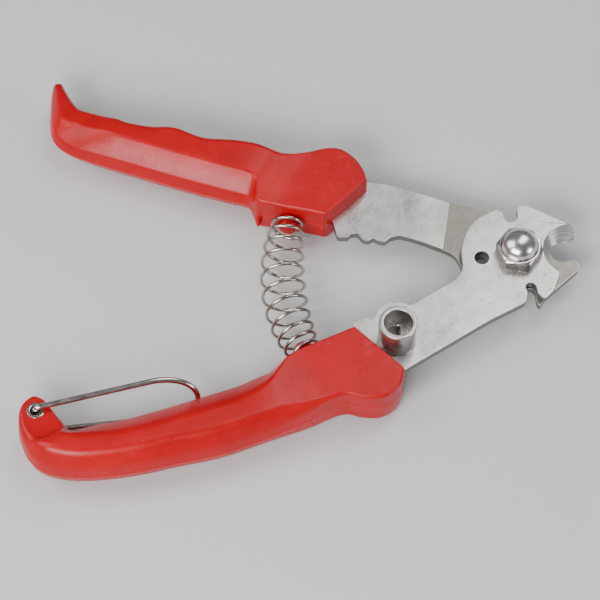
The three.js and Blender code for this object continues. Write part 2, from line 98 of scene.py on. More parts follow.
# ---- materials ----
class Surface:
    """A procedural material on one Principled shader, with object-space texture coordinates."""

    def __init__(self, name, **sockets):
        self.material = bpy.data.materials.new(name)
        self.material.use_nodes = True
        self.nodes = self.material.node_tree.nodes
        self.links = self.material.node_tree.links
        self.shader = self.nodes["Principled BSDF"]
        self.place = self.nodes.new("ShaderNodeTexCoord").outputs["Object"]
        for socket, value in sockets.items():
            self.shader.inputs[socket.replace("_", " ")].default_value = value

    def feed(self, socket, value):
        if isinstance(value, bpy.types.NodeSocket):
            self.links.new(value, socket)
        else:
            socket.default_value = value

    def stretched(self, scale, turn=(0, 0, 0)):
        """The coordinates turned, by radians, and scaled."""
        node = self.nodes.new("ShaderNodeMapping")
        node.inputs["Scale"].default_value = scale
        node.inputs["Rotation"].default_value = turn
        self.links.new(self.place, node.inputs["Vector"])
        return node.outputs["Vector"]

    def noise(self, scale, detail=3.0, roughness=0.55, where=None, warp=0.0):
        node = self.nodes.new("ShaderNodeTexNoise")
        node.inputs["Scale"].default_value = scale
        node.inputs["Detail"].default_value = detail
        node.inputs["Roughness"].default_value = roughness
        node.inputs["Distortion"].default_value = warp
        self.links.new(where or self.place, node.inputs["Vector"])
        return node.outputs["Fac"]

    def cells(self, scale):
        node = self.nodes.new("ShaderNodeTexVoronoi")
        node.inputs["Scale"].default_value = scale
        self.links.new(self.place, node.inputs["Vector"])
        return node.outputs["Distance"]

    def span(self, value, low, high, to_low=0.0, to_high=1.0):
        """value from low..high carried to to_low..to_high, held at the ends."""
        node = self.nodes.new("ShaderNodeMapRange")
        for socket, number in zip(node.inputs[1:5], (low, high, to_low, to_high)):
            socket.default_value = number
        self.links.new(value, node.inputs[0])
        return node.outputs[0]

    def calc(self, how, a, b=0.0):
        node = self.nodes.new("ShaderNodeMath")
        node.operation = how
        self.feed(node.inputs[0], a)
        self.feed(node.inputs[1], b)
        return node.outputs[0]

    def blend(self, share, a, b):
        node = self.nodes.new("ShaderNodeMix")
        node.data_type = "RGBA"
        self.feed(node.inputs["Factor"], share)
        self.feed(node.inputs[6], a if isinstance(a, bpy.types.NodeSocket) else (*a, 1))
        self.feed(node.inputs[7], b if isinstance(b, bpy.types.NodeSocket) else (*b, 1))
        return node.outputs[2]

    def along_axis(self, index):
        """The coordinate along one of the frame's axes, in metres."""
        split = self.nodes.new("ShaderNodeSeparateXYZ")
        self.links.new(self.place, split.inputs[0])
        return split.outputs[index]

    def off(self, value, centre):
        """How far a value is from its centre, either way."""
        return self.calc("ABSOLUTE", self.calc("SUBTRACT", value, centre))

    def radius(self, x, y):
        """Distance from a vertical axis through (x, y) in the frame."""
        east = self.calc("SUBTRACT", self.along_axis(0), x)
        north = self.calc("SUBTRACT", self.along_axis(1), y)
        square = self.calc("ADD", self.calc("POWER", east, 2.0), self.calc("POWER", north, 2.0))
        return self.calc("SQRT", square)

    def rings(self, x, y, per_metre, detail=2.0):
        """Fine concentric machining marks about a vertical axis."""
        node = self.nodes.new("ShaderNodeTexNoise")
        node.noise_dimensions = "1D"
        node.inputs["Scale"].default_value = per_metre
        node.inputs["Detail"].default_value = detail
        self.links.new(self.radius(x, y), node.inputs["W"])
        return node.outputs["Fac"]

    def bumps(self, *layers):
        """Each layer is (height, depth in mm)."""
        normal = None
        for height, depth in layers:
            node = self.nodes.new("ShaderNodeBump")
            node.inputs["Distance"].default_value = depth * MM
            self.links.new(height, node.inputs["Height"])
            if normal:
                self.links.new(normal, node.inputs["Normal"])
            normal = node.outputs["Normal"]
        self.links.new(normal, self.shader.inputs["Normal"])

    def finish(self, color, roughness):
        self.feed(self.shader.inputs["Base Color"], color)
        self.feed(self.shader.inputs["Roughness"], roughness)
        return self.material


def red_plastic():
    """Satin moulded plastic: grain, scuffs, flecks, a rubbed patch and a painted highlight along the
    parting line.
    """
    s = Surface("red_moulded_plastic", Specular_IOR_Level=0.3)
    cloud = s.noise(60, 4.0, 0.6)
    grain = s.noise(1250, 4.0, 0.65)
    color = s.blend(s.span(cloud, 0.3, 0.7), (0.37, 0.0003, 0.003), (0.48, 0.0005, 0.005))
    along = s.noise(1.0, 5.0, 0.62, s.stretched((240, 1100, 300), (0, 0, 0.5)), 0.6)
    across = s.noise(1.0, 4.0, 0.62, s.stretched((1300, 200, 300), (0, 0, 0.25)), 0.4)
    patches = s.span(s.noise(38, 2.0), 0.5, 0.66)
    scuffs = s.calc("MAXIMUM", s.span(along, 0.6, 0.7), s.span(across, 0.63, 0.72))
    scuffs = s.calc("MULTIPLY", scuffs, patches)
    fleck = s.span(s.cells(480), 0.04, 0.1, 1.0, 0.0)
    fleck = s.calc("MULTIPLY", fleck, s.span(s.noise(190, 2.0), 0.55, 0.62))
    rub = s.span(s.radius(TUBE.x, TUBE.y), 7 * MM, 15 * MM, 1.0, 0.0)
    rub = s.calc("MULTIPLY", rub, s.span(s.noise(520, 5.0, 0.7), 0.52, 0.66))
    worn = s.calc("MAXIMUM", s.calc("MULTIPLY", scuffs, 0.22), s.calc("MULTIPLY", fleck, 0.3))
    worn = s.calc("MAXIMUM", worn, s.calc("MULTIPLY", rub, 0.5))
    color = s.blend(worn, color, (0.75, 0.16, 0.16))
    # painted highlight: a brighter red band along the parting line
    from_parting = s.off(s.along_axis(2), MIDDLE * MM)
    parting_highlight = s.span(from_parting, 0.12 * MM, 0.3 * MM, 0.55, 0.0)
    color = s.blend(parting_highlight, color, (0.66, 0.03, 0.035))
    s.bumps((cloud, 0.1), (grain, 0.055), (fleck, -0.06), (scuffs, 0.02))
    roughness = s.span(s.calc("ADD", s.noise(300, 4.0), scuffs), 0.3, 1.1, 0.26, 0.42)
    return s.finish(color, roughness)


def plated_steel():
    """Zinc-plated sheet with a cloudy bloom and dark pits."""
    s = Surface("plated_steel_sheet", Metallic=1.0)
    cloud = s.noise(75, 5.0, 0.65)
    wide = s.noise(28, 3.0, 0.5)
    grain = s.noise(1.0, 4.0, 0.6, s.stretched((900, 2600, 900), (0, 0, 0.35)))
    pits = s.span(s.cells(620), 0.06, 0.2, 1.0, 0.0)
    pits = s.calc("MULTIPLY", pits, s.span(s.noise(380, 2.0), 0.5, 0.58))
    color = s.blend(s.span(cloud, 0.32, 0.7), (0.48, 0.47, 0.45), (0.72, 0.715, 0.695))
    color = s.blend(s.calc("MULTIPLY", pits, 0.8), color, (0.10, 0.085, 0.07))
    s.bumps((wide, 0.5), (cloud, 0.09), (grain, 0.007), (pits, -0.06))
    roughness = s.span(s.calc("ADD", cloud, grain), 0.7, 1.3, 0.22, 0.42)
    return s.finish(color, roughness)


def ground_steel(name, x, y, tint, lines):
    """Bare steel with grinding marks about the axis of the wheel that cut it."""
    s = Surface(name, Metallic=1.0)
    marks = s.rings(x, y, lines, 6.0)
    cloud = s.noise(160, 4.0, 0.6)
    dark = tuple(0.72 * c for c in tint)
    mottle = s.calc("ADD", marks, s.calc("MULTIPLY", cloud, 1.4))
    color = s.blend(s.span(mottle, 0.9, 1.5), dark, tint)
    s.bumps((marks, 0.02), (s.noise(1500, 2.0), 0.005))
    return s.finish(color, s.span(marks, 0.3, 0.7, 0.26, 0.42))


def turned_metal(name, x, y, tint, low, high, lines=1800, depth=0.008):
    """Lathe-turned metal, low..high rough: faint rings about a vertical axis, a little tarnish."""
    s = Surface(name, Metallic=1.0)
    marks = s.rings(x, y, lines)
    cloud = s.noise(350, 4.0, 0.6)
    color = s.blend(s.span(cloud, 0.35, 0.75), tuple(0.84 * c for c in tint), tint)
    s.bumps((marks, depth), (s.noise(700, 3.0), depth))
    return s.finish(color, s.span(cloud, 0.3, 0.7, low, high))


def nut_chrome():
    """Polished chrome, with painted shade: darker on the hexagon's sides and a dark line painted in the
    groove round the dome.
    """
    shoulder = NUT_BASE + NUT_SHOULDER * MM
    s = Surface("nut_chrome", Metallic=1.0)
    marks = s.rings(PIVOT.x, PIVOT.y, 900)
    cloud = s.noise(350, 4.0, 0.6)
    color = s.blend(s.span(cloud, 0.35, 0.75), (0.66, 0.62, 0.62), (0.80, 0.76, 0.755))
    # painted shade: below the shoulder the hexagon's sides get a darker tone, with faint vertical streaks
    wall = s.span(s.along_axis(2), shoulder - 0.9 * MM, shoulder - 0.4 * MM, 1.0, 0.0)
    streaks = s.noise(1.0, 4.0, 0.6, s.stretched((420, 420, 1900)))
    shaded_wall_tone = s.blend(s.span(streaks, 0.35, 0.65), (0.17, 0.15, 0.14), (0.44, 0.41, 0.395))
    color = s.blend(wall, color, shaded_wall_tone)
    # painted shade: a dark line in the groove where the dome meets the hexagon
    from_groove = s.off(s.radius(PIVOT.x, PIVOT.y), GROOVE_RADIUS * MM)
    groove = s.span(from_groove, 0.08 * MM, 0.26 * MM, 0.75, 0.0)
    color = s.blend(groove, color, (0.12, 0.10, 0.095))
    s.bumps((marks, 0.006), (cloud, 0.02))
    return s.finish(color, s.span(cloud, 0.3, 0.7, 0.18, 0.28))


def wire_metal(name, tint, low, high):
    """Drawn or sheared metal, low..high rough, with fine marks along one way."""
    s = Surface(name, Metallic=1.0)
    cloud = s.noise(420, 5.0, 0.65)
    draw = s.noise(1.0, 3.0, 0.6, s.stretched((500, 2500, 2500)))
    color = s.blend(s.span(cloud, 0.3, 0.72), tuple(0.78 * c for c in tint), tint)
    s.bumps((cloud, 0.012), (draw, 0.004))
    return s.finish(color, s.span(cloud, 0.3, 0.7, low, high))


def floor_paper():
    s = Surface("pale_floor", Specular_IOR_Level=0.25)
    cloud = s.noise(3.0, 3.0)
    s.bumps((s.noise(900, 2.0), 0.01))
    color = s.blend(cloud, (0.56, 0.56, 0.56), (0.585, 0.585, 0.58))
    return s.finish(color, s.span(cloud, 0.3, 0.7, 0.5, 0.6))


RED = red_plastic()
PLATED = plated_steel()
BLADE_WALL = wire_metal("sheared_edge", (0.25, 0.24, 0.225), 0.28, 0.46)
BLADE_GROUND = ground_steel("ground_bevel", PIVOT.x + MOUTH[0] * MM, PIVOT.y + MOUTH[1] * MM,
                            (0.80, 0.78, 0.75), 3400)
RUB_GROUND = ground_steel("rubbed_face", PIVOT.x, PIVOT.y, (0.33, 0.30, 0.265), 2600)
NUT_CHROME = nut_chrome()
BOLT_STEEL = turned_metal("bolt_steel", PIVOT.x, PIVOT.y, (0.62, 0.60, 0.57), 0.24, 0.4)
TUBE_STEEL = turned_metal("tube_steel", TUBE.x, TUBE.y, (0.60, 0.57, 0.55), 0.24, 0.36,
                          3200, 0.004)
NEEDLE_STEEL = turned_metal("needle_steel", TUBE.x, TUBE.y, (0.82, 0.81, 0.79), 0.1, 0.2,
                            2600, 0.004)
SPRING_WIRE = wire_metal("spring_wire_steel", (0.52, 0.485, 0.44), 0.14, 0.28)
BAIL_WIRE = wire_metal("bail_wire_steel", (0.66, 0.63, 0.59), 0.1, 0.24)


# ---- mesh tools ----
def rounded(corners, steps=4, closed=True):
    """Corners are (x, y, radius). Each becomes a small curve of steps + 1 points."""
    points = []
    count = len(corners)
    for i, (x, y, radius) in enumerate(corners):
        here = Vector((x, y))
        if not closed and i in (0, count - 1):
            points.append(here)
            continue
        back = Vector(corners[i - 1][:2]) - here
        ahead = Vector(corners[(i + 1) % count][:2]) - here
        reach = min(radius, 0.45 * back.length, 0.45 * ahead.length)
        start = here + back.normalized() * reach
        end = here + ahead.normalized() * reach
        for k in range(steps + 1):
            t = k / steps
            points.append(start * (1 - t) ** 2 + here * 2 * t * (1 - t) + end * t * t)
    return points


def skin(rings):
    """A closed bmesh through rings of points, every ring with the same count."""
    mesh = bmesh.new()
    rows = [[mesh.verts.new(p) for p in ring] for ring in rings]
    count = len(rows[0])
    for a, b in zip(rows, rows[1:]):
        for i in range(count):
            j = (i + 1) % count
            mesh.faces.new((a[i], a[j], b[j], b[i]))
    mesh.faces.new(rows[0])
    mesh.faces.new(rows[-1])
    return mesh


def piece(name, mesh, material, body, stands_for, sharp=32.0):
    """Turns a bmesh into a finished object. With no body, it is left unattached."""
    bmesh.ops.remove_doubles(mesh, verts=mesh.verts, dist=0.004 * MM)
    bmesh.ops.recalc_face_normals(mesh, faces=mesh.faces)
    data = bpy.data.meshes.new(name)
    mesh.to_mesh(data)
    mesh.free()
    data.shade_smooth()
    data.set_sharp_from_angle(angle=math.radians(sharp))
    obj = bpy.data.objects.new(name, data)
    bpy.context.collection.objects.link(obj)
    for one in material if isinstance(material, (list, tuple)) else [material]:
        data.materials.append(one)
    weighted = obj.modifiers.new("flat faces stay flat", "WEIGHTED_NORMAL")
    weighted.keep_sharp = True
    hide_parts(*stands_for)
    if body:
        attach(obj, body)
    return obj


def scratch(mesh):
    """A bmesh as a throwaway object, for cutting and joining."""
    bmesh.ops.recalc_face_normals(mesh, faces=mesh.faces)
    data = bpy.data.meshes.new("scratch")
    mesh.to_mesh(data)
    mesh.free()
    obj = bpy.data.objects.new("scratch", data)
    bpy.context.collection.objects.link(obj)
    return obj


def combined(mesh, *steps):
    """The mesh after each (how, other mesh) boolean in turn."""
    obj = scratch(mesh)
    for how, other in steps:
        tool = scratch(other)
        cut = obj.modifiers.new("step", "BOOLEAN")
        cut.operation = how
        cut.solver = "EXACT"
        cut.object = tool
        graph = bpy.context.evaluated_depsgraph_get()
        result = bpy.data.meshes.new_from_object(obj.evaluated_get(graph))
        obj.modifiers.clear()
        obj.data = result
        bpy.data.objects.remove(tool)
    final = bmesh.new()
    final.from_mesh(obj.data)
    bpy.data.objects.remove(obj)
    return final


def turned(profile, centre, sides=96, closed=True):
    """A body of revolution. The profile is (radius, height, corner radius), and an open one
    starts and ends on the axis."""
    points = rounded(profile, 3, closed)
    rings = []
    for i in range(sides):
        angle = 2 * math.pi * i / sides
        x, y = math.cos(angle), math.sin(angle)
        rings.append([Vector((centre.x + p.x * x * MM, centre.y + p.x * y * MM, p.y * MM))
                      for p in points])
    mesh = bmesh.new()
    rows = [[mesh.verts.new(p) for p in ring] for ring in rings]
    last = len(points) if closed else len(points) - 1
    for a, b in zip(rows, rows[1:] + rows[:1]):
        for i in range(last):
            j = (i + 1) % len(points)
            mesh.faces.new((a[i], b[i], b[j], a[j]))
    bmesh.ops.remove_doubles(mesh, verts=mesh.verts, dist=0.002 * MM)
    bmesh.ops.dissolve_degenerate(mesh, edges=mesh.edges, dist=0.001 * MM)
    return mesh


def tube(points, radius, sides):
    """A round wire along points in metres, with rounded ends."""
    size = radius * MM
    rings = []
    normal = None
    count = len(points)
    for i, p in enumerate(points):
        along = (points[min(i + 1, count - 1)] - points[max(i - 1, 0)]).normalized()
        if normal is None:
            normal = along.orthogonal().normalized()
        normal = (normal - along * normal.dot(along)).normalized()
        other = along.cross(normal)
        rings.append((p, along, normal, other))

    def ring(entry, scale, push):
        """One ring of the wire, scaled, and pushed along it in metres."""
        p, along, a, b = entry
        turn = [2 * math.pi * k / sides for k in range(sides)]
        return [p + along * push + (a * math.cos(t) + b * math.sin(t)) * size * scale for t in turn]

    rows = [ring(r, 1, 0) for r in rings]
    for degrees in (27, 54, 81):
        angle = math.radians(degrees)
        rows.insert(0, ring(rings[0], math.cos(angle), -size * math.sin(angle)))
        rows.append(ring(rings[-1], math.cos(angle), size * math.sin(angle)))
    return skin(rows)


# ---- blades: the frame's own shapes, with broken edges and ground faces ----
EDGE_BREAK = 0.2
SHARP = 24                          # degrees: an edge that turns more than this is broken
BEVEL, RUB, WALL = 1, 2, 3          # material slots: the rest of a blade is slot 0, the plating


def blade(name, node, body):
    """A plate from its CAD shape: edges broken, and a metal for each kind of face."""
    mesh = bmesh.new()
    mesh.from_mesh(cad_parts[node].data)
    bmesh.ops.remove_doubles(mesh, verts=mesh.verts, dist=0.002 * MM)
    flat = math.radians(0.8)
    bmesh.ops.dissolve_limit(mesh, angle_limit=flat, verts=mesh.verts, edges=mesh.edges)
    shared = [e for e in mesh.edges if len(e.link_faces) == 2]
    sharp = [e for e in shared if e.calc_face_angle(0) > math.radians(SHARP)]
    bmesh.ops.bevel(mesh, geom=sharp, offset=EDGE_BREAK * MM, offset_type="OFFSET", segments=2,
                    profile=0.6, affect="EDGES", clamp_overlap=False)
    bmesh.ops.recalc_face_normals(mesh, faces=mesh.faces)
    metals = [PLATED, BLADE_GROUND, RUB_GROUND, BLADE_WALL]
    obj = piece(name, mesh, metals, body, [node], 28.0)
    low, high = (c.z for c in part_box(node))
    margin = 0.22 * MM                  # a face nearer the top or bottom than this is an edge
    least_area = 0.4 * MM * MM
    upright, leaning, level = 0.2, 0.3, 0.995
    for face in obj.data.polygons:
        tilt = abs(face.normal.z)       # 1 is level, 0 is upright
        inside = low + margin < face.center.z < high - margin
        if tilt < upright:
            face.material_index = WALL
        elif face.area > least_area and leaning < tilt < level and inside:
            face.material_index = BEVEL
        elif tilt > level and inside:
            face.material_index = RUB


blade("front_blade_plate", "front_blade", "front_half")
blade("rear_blade_plate", "rear_blade", "rear_half")


# ---- pivot ----
def hex_body(centre, flats, turn, rows):
    """rows are functions of the hexagon's radius that give (radius, height). turn is in radians."""
    corner = flats / math.sqrt(3) - 0.12
    per_side = 16
    rings = []
    for row in rows:
        ring = []
        for i in range(6 * per_side):
            angle = 2 * math.pi * i / (6 * per_side)
            lean = (angle + math.pi / 6) % (math.pi / 3) - math.pi / 6
            radius, height = row(min(flats / 2 / math.cos(lean), corner))
            at = angle + turn
            x, y = radius * math.cos(at) * MM, radius * math.sin(at) * MM
            ring.append(Vector((centre.x + x, centre.y + y, height * MM)))
        rings.append(ring)
    return skin(rings)


def ring_row(radius, height):
    return lambda hexagon: (radius, height)


def pivot_nut():
    base = NUT_BASE / MM
    shoulder = base + NUT_SHOULDER
    bore, bore_top = 4.3, 19.4
    rim = 6.85                      # where the chamfer meets the hexagon's top
    dome_base, dome_height, dome_rows = shoulder + 0.1, 4.8, 16

    def chamfer(hexagon):
        return shoulder - (hexagon - rim) * CHAMFER_SLOPE

    rows = [
        ring_row(0.02, bore_top + 0.05), ring_row(bore, bore_top), ring_row(bore, base),
        lambda h: (h - 0.35, base), lambda h: (h - 0.1, base + 0.1), lambda h: (h, base + 0.35),
        lambda h: (h, chamfer(h) - 0.08), lambda h: (h - 0.07, chamfer(h)),
        ring_row(rim + 0.12, shoulder - 0.05), ring_row(rim - 0.05, shoulder),
        ring_row(6.5, shoulder), ring_row(6.4, shoulder - 0.06), ring_row(6.34, shoulder - 0.12),
        ring_row(DOME_RADIUS, dome_base),
    ]
    for i in range(1, dome_rows + 1):
        angle = math.pi / 2 * i / dome_rows
        radius = max(DOME_RADIUS * math.cos(angle), 0.02)
        rows.append(ring_row(radius, dome_base + dome_height * math.sin(angle)))
    mesh = hex_body(PIVOT, NUT_FLATS, math.radians(NUT_TURN), rows)
    piece("pivot_nut", mesh, NUT_CHROME, "rear_half", ["dome_nut"], 24.0)


def pivot_bolt():
    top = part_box("pivot_bolt")[1].z / MM
    shank, face = 4.0, 6.2
    rows = [
        ring_row(0.02, 0.35), ring_row(5.4, 0.3), ring_row(5.9, 0.0), ring_row(face, 0.0),
        lambda h: (h, 0.25 + (h - face) * CHAMFER_SLOPE),
        lambda h: (h, BOLT_HEAD - 0.2), lambda h: (h - 0.2, BOLT_HEAD),
        ring_row(shank + 0.2, BOLT_HEAD), ring_row(shank, BOLT_HEAD + 0.2),
        ring_row(shank, top - 0.6), ring_row(shank - 0.6, top), ring_row(0.02, top),
    ]
    piece("pivot_bolt_body", hex_body(PIVOT, BOLT_FLATS, 0.0, rows), BOLT_STEEL,
          "rear_half", ["pivot_bolt"], 30.0)


def pivot_washer():
    low, high = (c.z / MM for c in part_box("pivot_washer"))
    bore, rim = 4.3, 8.0
    profile = [(bore, low, 0.1), (rim, low, 0.3), (rim, high, 0.3), (bore, high, 0.1)]
    piece("pivot_washer_ring", turned(profile, PIVOT), BOLT_STEEL,
          "rear_half", ["pivot_washer"])


pivot_nut()
pivot_bolt()
pivot_washer()


# ---- liner opener ----
def liner_opener():
    low = 13.05                     # just above the front blade
    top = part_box("needle_tube")[1].z / MM
    foot, wall, bore, floor_level = 3.0, 6.4, 4.62, low + 1.4
    hole, base = 1.1, 10.3          # the needle's hole, and the bottom of the foot
    profile = [
        (hole, base, 0.05), (foot, base, 0.1), (foot, low, 0.02),
        (wall - 0.25, low, 0.1), (wall, low + 0.5, 0.3),
        (wall, top - 0.4, 0.2), (wall - 0.3, top, 0.12),
        (bore + 0.23, top, 0.12), (bore, top - 0.35, 0.12),
        (bore, floor_level, 0.3), (hole, floor_level, 0.05),
    ]
    piece("needle_tube_wall", turned(profile, TUBE), TUBE_STEEL,
          "front_half", ["needle_tube"])
    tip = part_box("liner_needle")[1].z / MM
    seat = floor_level + 0.1
    shank, collar, butt = 0.8, 1.7, base + 0.2
    profile = [
        (0, butt, 0), (shank, butt, 0.05), (shank, seat, 0.02),
        (collar, seat, 0.15), (collar, seat + 0.5, 0.2),
        (1.45, seat + 3, 0.5), (0.55, tip - 0.8, 0.3), (0.32, tip - 0.12, 0.12), (0, tip, 0),
    ]
    piece("needle_point", turned(profile, TUBE, 48, False), NEEDLE_STEEL,
          "front_half", ["liner_needle"])


liner_opener()


# ---- grips ----
RIDGE = 0.13                        # height of the flash along the parting line
RIDGE_HALF = 0.3                    # half its width
STEPS = 7                           # rings from one station to the next
SMOOTH_COLUMNS = 4                  # a station's x and y values: the rest never overshoot


def through(values, steps, held):
    """A smooth curve through evenly spaced values. With held, it never overshoots them."""
    gaps = [b - a for a, b in zip(values, values[1:])]
    slopes = [gaps[0]]
    for before, after in zip(gaps, gaps[1:]):
        if not held:
            slopes.append((before + after) / 2)
        elif before * after <= 0:
            slopes.append(0.0)
        else:
            slopes.append(2 * before * after / (before + after))
    slopes.append(gaps[-1])
    samples = []
    for i, gap in enumerate(gaps):
        start, end = slopes[i], slopes[i + 1]
        for k in range(steps):
            t = k / steps
            bend = (start + end - 2 * gap) * t ** 3 + (3 * gap - 2 * start - end) * t * t
            samples.append(values[i] + start * t + bend)
    samples.append(values[-1])
    return samples


def grip_section(width, half, inner, outer, shoulder, soft):
    """One section across a grip, from its inner edge to its outer edge and back."""
    soft_inner, soft_outer = soft
    crown = (shoulder + 1) / 2 * half + 0.02 * inner
    upper = [
        (-RIDGE, RIDGE_HALF * 0.4, 0.08),
        (0.02, RIDGE_HALF, 0.12),
        (0.16 * inner, shoulder * half, 0.9),
        (0.56 * inner, crown, 3.0),
        (inner, half, soft_inner),
        (width - outer, half, soft_outer),
        (width - 0.16 * outer, shoulder * half, 1.4),
        (width - 0.02, RIDGE_HALF, 0.12),
        (width + RIDGE, RIDGE_HALF * 0.4, 0.08),
    ]
    lower = [(x, -z, r) for x, z, r in reversed(upper)]
    return rounded(upper + lower)


def grip_mesh(stations, soft, tip):
    """A skin over the stations: inner x and y, outer x and y, half thickness, widths of the inner
    and outer facets, and how high the facets start as a share of the half thickness."""
    columns = [through([s[i] for s in stations], STEPS, i >= SMOOTH_COLUMNS) for i in range(8)]
    rings = []
    for ax, ay, bx, by, half, inner, outer, shoulder in zip(*columns):
        start = spot(ax, ay, MIDDLE)
        across = spot(bx, by, MIDDLE) - start
        width = across.length / MM
        across.normalize()
        section = grip_section(width, half, inner, outer, shoulder, soft)
        rings.append([start + across * p.x * MM + Vector((0, 0, p.y * MM)) for p in section])

    def end_cap(ring, inward, depth, spread, turns):
        """Rings that round off an end, shrinking and moving outwards by each angle of turns."""
        centre = sum(ring, Vector()) / len(ring)
        other = sum(inward, Vector()) / len(inward)
        side = (ring[len(ring) // 2] - ring[0]).normalized()
        out = Vector((-side.y, side.x, 0))
        if out.dot(centre - other) < 0:
            out = -out
        caps = []
        for degrees in turns:
            angle = math.radians(degrees)
            shrink = spread * (1 - math.cos(angle)) * MM
            push = out * depth * math.sin(angle) * MM
            cap = []
            for p in ring:
                arm = p - centre
                cap.append(p - arm * min(shrink / max(arm.length, 1e-6), 0.97) + push)
            caps.append(cap)
        return caps

    tip_caps = end_cap(rings[0], rings[3], *tip, (20, 40, 58, 75, 90))
    cut_caps = end_cap(rings[-1], rings[-4], 0.5, 0.55, (25, 50, 70, 90))
    return skin(tip_caps[::-1] + rings + cut_caps)


REAR_STATIONS = [
    (-157.6, 76.0, -153.5, 76.6, 3.8, 1.2, 0.9, 0.5),
    (-158.0, 73.4, -152.3, 73.8, 4.6, 2.2, 1.2, 0.45),
    (-158.3, 68.2, -149.8, 69.0, 5.5, 3.2, 1.6, 0.42),
    (-158.5, 62.6, -147.0, 65.2, 6.2, 4.0, 1.8, 0.42),
    (-158.1, 57.4, -144.0, 63.8, 6.7, 5.3, 2.0, 0.42),
    (-156.0, 53.0, -140.4, 62.6, 7.0, 8.8, 2.2, 0.42),
    (-151.6, 49.2, -136.6, 61.3, 8.0, 9.6, 2.6, 0.42),
    (-146.0, 46.6, -133.0, 59.8, 9.2, 9.0, 2.8, 0.42),
    (-138.4, 43.4, -129.2, 57.8, 9.8, 8.2, 2.8, 0.42),
    (-129.5, 39.8, -121.8, 55.9, 10.0, 8.2, 2.8, 0.42),
    (-120.8, 36.3, -114.0, 55.2, 10.0, 8.2, 2.8, 0.42),
    (-111.0, 32.5, -104.4, 50.6, 10.0, 8.2, 2.8, 0.42),
    (-101.4, 29.0, -94.4, 49.3, 9.9, 8.2, 2.8, 0.42),
    (-95.4, 27.0, -87.4, 47.7, 9.7, 8.2, 2.6, 0.42),
    (-92.4, 26.0, -83.4, 45.8, 9.4, 7.9, 2.2, 0.42),
    (-90.8, 25.2, -80.6, 43.9, 9.1, 6.6, 1.7, 0.42),
    (-89.6, 23.8, -78.2, 42.3, 8.9, 3.6, 1.3, 0.55),
    (-88.4, 22.3, -76.2, 41.5, 8.7, 1.5, 1.1, 0.8),
    (-86.4, 21.5, -73.6, 41.1, 8.5, 0.9, 0.9, 0.9),
    (-80.0, 19.8, -68.4, 41.8, 8.1, 0.8, 0.8, 0.9),
    (-73.0, 18.0, -62.6, 43.0, 8.0, 0.8, 0.8, 0.9),
    (-69.0, 16.9, -57.6, 42.2, 8.0, 0.8, 0.8, 0.9),
    (-66.6, 16.2, -53.2, 38.2, 8.0, 0.8, 0.8, 0.9),
    (-65.4, 15.8, -50.6, 33.4, 8.0, 0.8, 0.8, 0.9),
    (-65.0, 16.0, -49.8, 29.6, 8.0, 0.8, 0.8, 0.9),
]
FRONT_STATIONS = [
    (-162.8, -47.9, -165.2, -48.1, 6.3, 0.4, 0.4, 0.88),
    (-161.0, -48.8, -167.2, -49.5, 6.4, 0.6, 0.6, 0.88),
    (-159.4, -50.5, -168.6, -51.7, 6.4, 0.8, 0.8, 0.85),
    (-157.2, -53.6, -169.3, -55.0, 6.4, 0.9, 1.2, 0.8),
    (-154.8, -56.8, -169.0, -60.0, 6.5, 1.0, 1.8, 0.7),
    (-152.6, -59.2, -167.6, -64.6, 7.0, 2.0, 2.8, 0.55),
    (-150.8, -59.8, -166.0, -68.0, 9.0, 4.6, 4.0, 0.45),
    (-148.6, -59.2, -162.8, -71.6, 9.9, 6.4, 4.8, 0.42),
    (-145.6, -57.8, -157.4, -74.0, 10.0, 7.6, 5.0, 0.42),
    (-141.0, -56.6, -150.2, -75.2, 10.0, 8.6, 5.0, 0.42),
    (-134.0, -55.4, -140.4, -75.2, 10.0, 9.0, 5.0, 0.42),
    (-124.8, -53.0, -129.4, -74.0, 10.0, 9.4, 5.0, 0.42),
    (-113.6, -49.9, -118.6, -71.9, 10.0, 9.6, 5.0, 0.42),
    (-103.0, -46.8, -108.4, -70.2, 10.0, 9.8, 4.8, 0.42),
    (-96.4, -44.8, -100.8, -68.4, 10.0, 9.6, 4.6, 0.42),
    (-90.2, -42.2, -92.4, -65.6, 10.0, 8.6, 4.4, 0.42),
    (-86.6, -41.0, -86.0, -63.4, 9.8, 6.0, 4.0, 0.44),
    (-83.6, -39.6, -79.6, -60.8, 9.2, 2.8, 3.2, 0.6),
    (-80.6, -37.4, -73.4, -58.2, 8.6, 1.2, 2.2, 0.75),
    (-76.2, -35.2, -67.0, -54.8, 8.1, 0.8, 1.2, 0.88),
    (-71.0, -33.0, -61.6, -53.2, 8.0, 0.8, 0.8, 0.9),
    (-66.4, -31.2, -55.8, -54.8, 8.0, 0.8, 0.8, 0.9),
    (-62.6, -29.7, -49.6, -54.8, 8.0, 0.8, 0.8, 0.9),
    (-59.8, -28.5, -44.2, -51.0, 8.0, 0.8, 0.8, 0.9),
    (-58.4, -28.0, -42.2, -45.2, 8.0, 0.8, 0.8, 0.9),
]


def slot_cutter(a, b, low, high, depth):
    """A block depth to each side of the line from a to b, for the groove where the steel enters."""
    start, end = spot(*a, 0), spot(*b, 0)
    side = (end - start).normalized()
    out = Vector((side.y, -side.x, 0)) * depth * MM
    corners = [start - out, end - out, end + out, start + out]
    return skin([[c + Vector((0, 0, h * MM)) for c in corners] for h in (low, high)])


def spring_peg(seat, out):
    """The short moulded peg that the end coil sits over."""
    profile = [(0, -5, 0), (3.5, -5, 0.3), (3.5, 2.4, 0.8), (2.7, 4.0, 0.6), (0, 4.2, 0)]
    mesh = turned(profile, Vector((0, 0, 0)), 40, False)
    axis = Vector((*out, 0)).normalized()
    turn = Vector((0, 0, 1)).rotation_difference(axis).to_matrix().to_4x4()
    mesh.transform(Matrix.Translation(spot(*seat, MIDDLE)) @ turn)
    return mesh


# Where each peg stands on its grip, and the way that it points.
REAR_SEAT, REAR_OUT = (-77, 18.7), (-0.267, -0.964)
FRONT_SEAT, FRONT_OUT = (-74, -33.7), (-0.414, 0.91)


